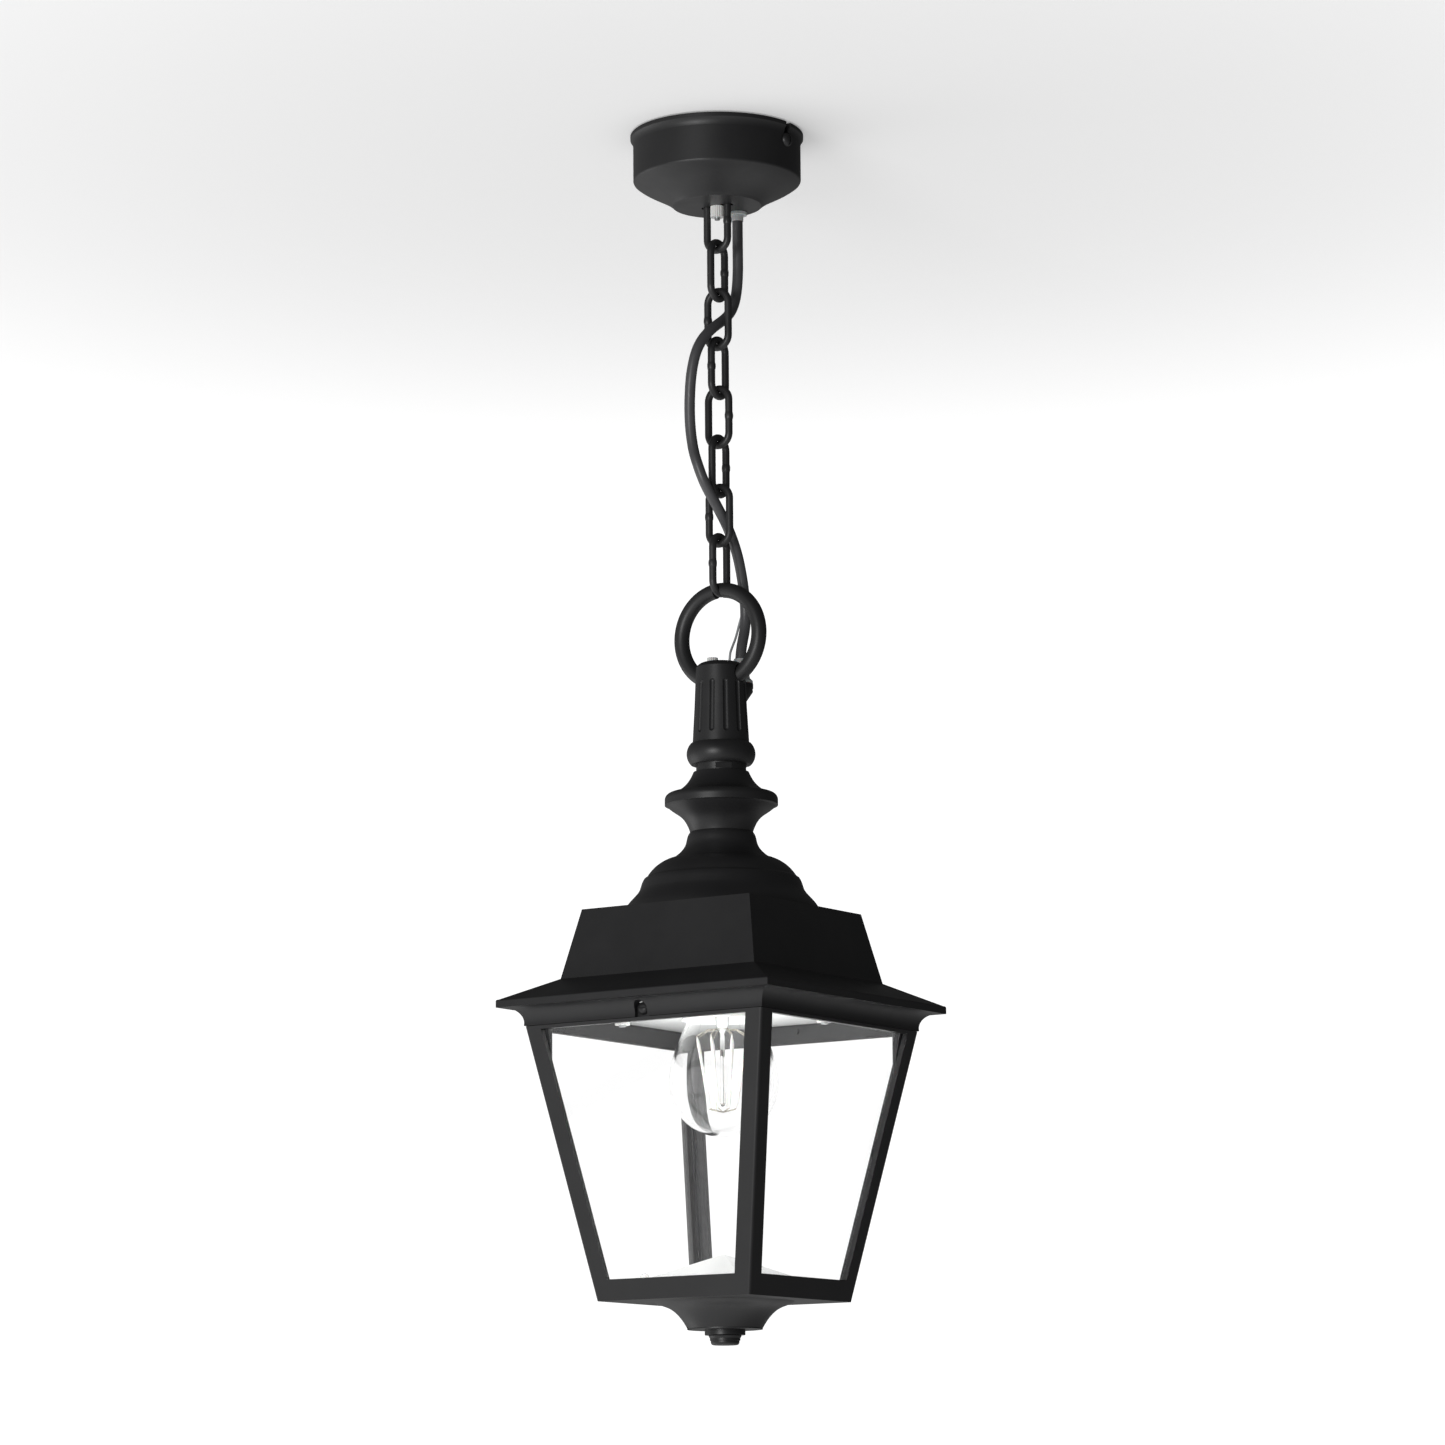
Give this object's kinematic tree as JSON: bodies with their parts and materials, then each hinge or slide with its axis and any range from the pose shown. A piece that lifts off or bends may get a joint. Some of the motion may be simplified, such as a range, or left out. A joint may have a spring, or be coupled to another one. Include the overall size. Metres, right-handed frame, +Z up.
{
  "type": "hanging lantern",
  "caption": "Hanging lantern with a ceiling rose, welded chain, lifting ring, turned column, square hood and a tapered glazed cage around a filament lamp.",
  "frame": {"origin": "centre of the ceiling rose's mounting face, on the lantern's axis", "axes": "+Z up towards the ceiling, -Y out of the broad front face, +X out of the right face"},
  "size_m": [0.18, 0.18, 0.6867],
  "materials": {
    "satin_black_casting": "satin powder coat on cast aluminium",
    "black_chain": "satin black lacquer on welded steel wire",
    "zinc_steel": "bright zinc plate",
    "white_plastic": "moulded white",
    "pale_gland_plastic": "moulded light grey",
    "white_sheet": "white baked enamel",
    "clear_glass": "clear, polished",
    "cap_brass": "formed sheet",
    "filament_phosphor": "phosphor coated rods",
    "cable_sheath": "smooth sheath",
    "earth_sheath": "smooth sheath"
  },
  "bodies": {
    "rose": {"rose_shell": "satin_black_casting", "ceiling_bracket": "zinc_steel", "hanger_yoke": "zinc_steel", "clamp_stud": "zinc_steel", "cable_grommet": "pale_gland_plastic", "rose_terminal_block": "pale_gland_plastic", "chain_link_1": "black_chain", "supply_cable": "cable_sheath", "earth_wire": "earth_sheath"},
    "rose_nut": {"rose_nut": "white_plastic"},
    "rose_screw_right": {"rose_screw_right": "satin_black_casting"},
    "rose_screw_left": {"rose_screw_left": "satin_black_casting"},
    "chain_upper": {"chain_link_2": "black_chain"},
    "chain_middle": {"chain_link_3": "black_chain", "chain_link_4": "black_chain", "chain_link_5": "black_chain"},
    "chain_lower": {"chain_link_6": "black_chain"},
    "chain_foot": {"chain_link_7": "black_chain", "chain_link_8": "black_chain"},
    "ring": {"suspension_ring": "satin_black_casting"},
    "lantern": {"fluted_neck": "satin_black_casting", "cable_gland": "pale_gland_plastic", "wire_bush": "pale_gland_plastic", "neck_set_screw": "white_plastic", "bead_ring": "satin_black_casting", "lock_collar": "satin_black_casting", "spool": "satin_black_casting", "stepped_dome": "satin_black_casting", "hood": "satin_black_casting", "threaded_tube": "zinc_steel", "tube_washer": "zinc_steel", "tube_nut": "zinc_steel", "plate_studs": "zinc_steel", "plate_spacers": "zinc_steel", "reflector_plate": "white_sheet", "plate_nuts": "white_plastic", "holder_cover": "white_plastic", "holder_body": "white_plastic", "holder_contact": "cap_brass", "holder_skirt": "white_plastic"},
    "lamp": {"lamp_cap": "cap_brass", "lamp_glass": "clear_glass", "lamp_stem": "clear_glass", "lamp_filaments": "filament_phosphor"},
    "cage": {"cage_frame": "satin_black_casting", "glass_pane_front": "clear_glass", "glass_pane_right": "clear_glass", "glass_pane_back": "clear_glass", "glass_pane_left": "clear_glass", "pane_clips": "zinc_steel", "base_dish": "satin_black_casting", "floor_reflector": "white_sheet", "floor_nut": "white_plastic", "tie_rod": "zinc_steel", "finial_washer": "satin_black_casting"},
    "cage_screw_front": {"cage_screw_front": "satin_black_casting"},
    "cage_screw_back": {"cage_screw_back": "satin_black_casting"},
    "finial_knob": {"finial_knob": "satin_black_casting"}
  },
  "joints": [
    {"name": "upper_link_sway", "type": "hinge", "parent": "rose", "child": "chain_upper", "pos_m": [0, 0, -0.06722], "axis": [1, 0, 0], "range_deg": [-12, 12], "deforming": ["supply_cable", "earth_wire"]},
    {"name": "middle_link_sway", "type": "hinge", "parent": "chain_upper", "child": "chain_middle", "pos_m": [0, 0, -0.09567], "axis": [0, 1, 0], "range_deg": [-12, 12]},
    {"name": "lower_link_sway", "type": "hinge", "parent": "chain_middle", "child": "chain_lower", "pos_m": [0, 0, -0.18102], "axis": [1, 0, 0], "range_deg": [-12, 12]},
    {"name": "foot_link_sway", "type": "hinge", "parent": "chain_lower", "child": "chain_foot", "pos_m": [0, 0, -0.20947], "axis": [0, 1, 0], "range_deg": [-12, 12]},
    {"name": "ring_sway", "type": "hinge", "parent": "chain_foot", "child": "ring", "pos_m": [0, 0, -0.26636], "axis": [0, 1, 0], "range_deg": [-12, 12]},
    {"name": "neck_sway", "type": "hinge", "parent": "ring", "child": "lantern", "pos_m": [0, 0, -0.31705], "axis": [1, 0, 0], "range_deg": [-10, 10]},
    {"name": "rose_nut_turn", "type": "hinge", "parent": "rose", "child": "rose_nut", "pos_m": [0, 0, -0.045], "axis": [0, 0, 1], "range_deg": [0, 360]},
    {"name": "rose_screw_right_turn", "type": "hinge", "parent": "rose", "child": "rose_screw_right", "pos_m": [0.048, 0, -0.0103], "axis": [1, 0, 0], "range_deg": [0, 360]},
    {"name": "rose_screw_left_turn", "type": "hinge", "parent": "rose", "child": "rose_screw_left", "pos_m": [-0.048, 0, -0.0103], "axis": [-1, 0, 0], "range_deg": [0, 360]},
    {"name": "lamp_removal", "type": "slide", "parent": "lantern", "child": "lamp", "axis": [0, 0, -1], "range_m": [0, 0.03]},
    {"name": "cage_drop", "type": "slide", "parent": "lantern", "child": "cage", "axis": [0, 0, -1], "range_m": [0, 0.12]},
    {"name": "cage_screw_front_turn", "type": "hinge", "parent": "cage", "child": "cage_screw_front", "pos_m": [0, -0.0765, -0.5076], "axis": [0, -1, 0], "range_deg": [0, 360]},
    {"name": "cage_screw_back_turn", "type": "hinge", "parent": "cage", "child": "cage_screw_back", "pos_m": [0, 0.0765, -0.5076], "axis": [0, 1, 0], "range_deg": [0, 360]},
    {"name": "finial_knob_turn", "type": "hinge", "parent": "cage", "child": "finial_knob", "pos_m": [0, 0, -0.683], "axis": [0, 0, -1], "range_deg": [0, 360]}
  ]
}
